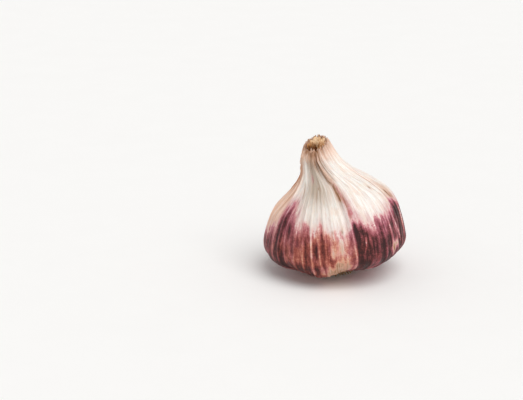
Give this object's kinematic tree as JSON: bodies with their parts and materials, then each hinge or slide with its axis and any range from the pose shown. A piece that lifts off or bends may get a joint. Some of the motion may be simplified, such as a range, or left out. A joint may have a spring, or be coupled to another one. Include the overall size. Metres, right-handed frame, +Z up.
{
  "type": "garlic bulb",
  "caption": "Dried hardneck garlic bulb with cream and purple-streaked papery skin, a leaning gathered neck with a cut fibrous end, and a corky root plate with trimmed roots.",
  "frame": {"origin": "middle of the root plate's flat underside, on the surface that the bulb stands on", "axes": "+Z up along the standing bulb, -Y out of its front, +X towards its fuller side; the neck leans towards -X"},
  "size_m": [0.0576, 0.0544, 0.056],
  "materials": {
    "skin": "satin",
    "dried_stalk": "matte",
    "cork": "matte"
  },
  "bodies": {
    "root": {"bulb_wrapper": "skin", "dried_neck_core": "dried_stalk", "root_plate": "cork"}
  },
  "joints": []
}
